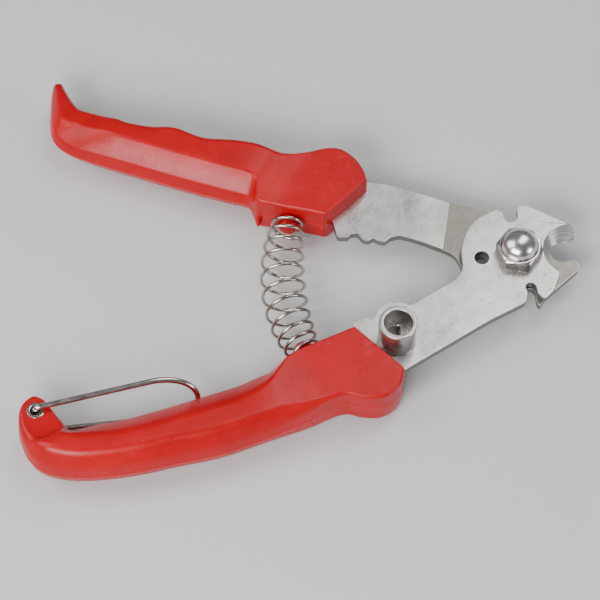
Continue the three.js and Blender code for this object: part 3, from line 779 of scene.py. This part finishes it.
def gate_nub(x, y, z, lean):
    """The stub of plastic left where the mould was filled, turned by lean."""
    profile = [(0, -2.5, 0), (1.3, -2.5, 0.2), (1.1, 1.9, 0.4), (0.6, 2.8, 0.4), (0, 2.9, 0)]
    mesh = turned(profile, Vector((0, 0, 0)), 24, False)
    turn = Matrix.Rotation(math.radians(lean), 4, "Z") @ Matrix.Rotation(math.radians(90), 4, "X")
    mesh.transform(Matrix.Translation(spot(x, y, z)) @ turn @ Matrix.Scale(0.8, 4, (1, 0, 0)))
    return mesh


def grips():
    rear = grip_mesh(REAR_STATIONS, (0.95, 1.7), (1.2, 1.5))
    rear = combined(
        rear,
        ("DIFFERENCE", slot_cutter((-61.6, 19.0), (-51.2, 28.2), 6.75, 10.25, 1.4)),
        ("UNION", spring_peg(REAR_SEAT, REAR_OUT)),
        ("UNION", gate_nub(-87.2, 21.7, 7, -12)),
    )
    piece("rear_grip_moulding", rear, RED, "rear_half", ["rear_grip"], 35.0)
    front = grip_mesh(FRONT_STATIONS, (1.9, 2.4), (0.25, 0.9))
    hole = 2.4
    eye_hole = turned([(0, -2, 0), (hole, -2, 0), (hole, 22, 0), (0, 22, 0)], EYE, 48, False)
    front = combined(
        front,
        ("DIFFERENCE", slot_cutter((-56.2, -30.3), (-44.6, -42.5), 9.75, 13.25, -1.4)),
        ("DIFFERENCE", eye_hole),
        ("UNION", spring_peg(FRONT_SEAT, FRONT_OUT)),
    )
    piece("front_grip_moulding", front, RED, "front_half", ["front_grip"], 35.0)


grips()


# ---- spring ----
def bezier(a, b, c, t):
    return a * (1 - t) ** 2 + b * 2 * t * (1 - t) + c * t * t


def return_spring():
    """A barrel coil along a bowed line, closer wound at its ends."""
    gap = 0.88                      # from a grip's face to the middle of the end turn's wire
    start = spot(REAR_SEAT[0] + REAR_OUT[0] * gap, REAR_SEAT[1] + REAR_OUT[1] * gap, MIDDLE)
    end = spot(FRONT_SEAT[0] + FRONT_OUT[0] * gap, FRONT_SEAT[1] + FRONT_OUT[1] * gap, MIDDLE)
    bow = spot(-84.8, -10.7, MIDDLE)
    turns, per_turn = 10.5, 32
    end_radius, middle_radius, wire = 4.7, 7.3, 0.58
    crowding = 0.055                # how much closer the end turns are wound
    reach = 0.01                    # how far each way along the line its direction is taken
    points = []
    count = round(turns * per_turn)
    for i in range(count + 1):
        t = i / count
        pitch = t - crowding * math.sin(2 * math.pi * t)
        along = (bezier(start, bow, end, min(pitch + reach, 1))
                 - bezier(start, bow, end, max(pitch - reach, 0)))
        along.normalize()
        side = Vector((-along.y, along.x, 0))
        belly = math.sin(math.pi * t) ** 0.8
        radius = (end_radius + (middle_radius - end_radius) * belly) * MM
        angle = 2 * math.pi * turns * t
        points.append(bezier(start, bow, end, pitch) + side * radius * math.cos(angle)
                      + Vector((0, 0, radius * math.sin(angle))))
    obj = piece("return_spring_coil", tube(points, wire, 12), SPRING_WIRE,
                None, ["return_spring"], 60.0)
    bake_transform(obj)


return_spring()


# ---- lock bail ----
def bail_eyelet():
    low, high = (c.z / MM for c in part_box("bail_eyelet"))
    bore, wall, flange, thick = 1.75, 2.3, 2.9, 0.45
    profile = [
        (bore, low, 0.4), (flange, low, 0.4), (flange, low + thick, 0.15), (wall, low + thick, 0.05),
        (wall, high - thick, 0.05), (flange, high - thick, 0.15), (flange, high, 0.4),
        (bore, high, 0.4),
    ]
    piece("bail_eyelet_rim", turned(profile, EYE, 64), BAIL_WIRE,
          "front_half", ["bail_eyelet"])


def lock_bail():
    """One wire: a pin in the eyelet, an arm, the loop's nose, the lower arm and its pin."""
    arm, nose, bend, pin, wire = 38.0, 15.0, 1.8, 5.0, 1.0
    spread = 8.3                    # each arm's distance from the parting plane
    set_over = 1.1                  # how far the nose is set towards the grip
    slant = 0.14                    # how much the lower arm leans towards the grip
    stowed = 11.5                   # degrees from +X, with the bail beside the grip

    def lean(along, height):
        return -slant * along * (1 - height / spread) / 2

    flat = [(0, spread - pin), (0, spread - bend)]
    corner = [Vector((0, spread - bend, 0)), Vector((0, spread, 0)), Vector((bend, spread, 0))]
    flat += [tuple(bezier(*corner, k / 8)[:2]) for k in range(1, 9)]
    flat += [(bend + (arm - bend) * k / 12, spread) for k in range(1, 13)]
    upper = [Vector((a, lean(a, h), h)) for a, h in flat]
    lower = [Vector((a, lean(a, -h), -h)) for a, h in reversed(flat)]
    loop = []
    for k in range(1, 48):
        angle = math.pi * k / 48
        along, height = arm + nose * math.sin(angle), spread * math.cos(angle)
        over = set_over * (1 - abs(math.cos(angle))) ** 0.8
        loop.append(Vector((along, lean(along, height) - over, height)))
    turn = Matrix.Rotation(math.radians(stowed), 4, "Z")
    base = Vector((EYE.x, EYE.y, MIDDLE * MM))
    points = [base + turn @ (p * MM) for p in upper + loop + lower]
    piece("lock_bail_wire", tube(points, wire, 20), BAIL_WIRE,
          "bail", ["lock_bail"], 60.0)


bail_eyelet()
lock_bail()


# ---- floor, light and camera ----
def floor():
    mesh = bmesh.new()
    bmesh.ops.create_grid(mesh, x_segments=24, y_segments=24, size=8.0)
    data = bpy.data.meshes.new("floor")
    mesh.to_mesh(data)
    mesh.free()
    data.materials.append(floor_paper())
    obj = bpy.data.objects.new("floor", data)
    bpy.context.collection.objects.link(obj)


def towards(azimuth, elevation):
    """The way from the object to a light or the camera, in degrees. Azimuth 0 is the -Y side."""
    a, e = math.radians(azimuth), math.radians(elevation)
    return Vector((math.sin(a) * math.cos(e), -math.cos(a) * math.cos(e), math.sin(e)))


def placed(name, data, aim, away, distance):
    """A light or camera at a distance from aim, in metres, and facing it."""
    obj = bpy.data.objects.new(name, data)
    obj.location = aim + away * distance
    obj.rotation_euler = away.to_track_quat("Z", "Y").to_euler()
    bpy.context.collection.objects.link(obj)
    return obj


def softbox(name, azimuth, elevation, distance, size, power):
    """A soft rectangular light aimed at the middle of the frame, in metres and watts."""
    data = bpy.data.lights.new(name, "AREA")
    data.shape = "RECTANGLE"
    data.size, data.size_y = size
    data.energy = power
    placed(name, data, Vector(), towards(azimuth, elevation), distance)


def studio():
    softbox("key", -31, 38, 1.1, (0.75, 0.45), 15)
    softbox("side", -100, 45, 1.2, (0.7, 0.9), 7)
    softbox("back", 140, 60, 1.3, (0.5, 1.0), 6.3)
    softbox("glint", 62, 22, 1.0, (0.35, 0.3), 3)
    world = bpy.data.worlds.new("studio")
    world.use_nodes = True
    background = world.node_tree.nodes["Background"]
    background.inputs["Color"].default_value = (0.88, 0.9, 0.93, 1)
    background.inputs["Strength"].default_value = 0.22
    bpy.context.scene.world = world


def camera():
    low, high = cad_box
    aside, nearer = 0.3, 7.6        # where it aims, from the middle of the CAD box
    azimuth, elevation, distance = -3, 60.5, 0.877      # the distance is in metres
    aim = Vector(((low.x + high.x) / 2 - aside * MM, (low.y + high.y) / 2 - nearer * MM, 0))
    data = bpy.data.cameras.new("camera")
    data.lens = 154.2
    data.sensor_width = 36
    data.clip_start = 0.05
    away = towards(azimuth, elevation)
    bpy.context.scene.camera = placed("camera", data, aim, away, distance)


floor()
studio()
camera()
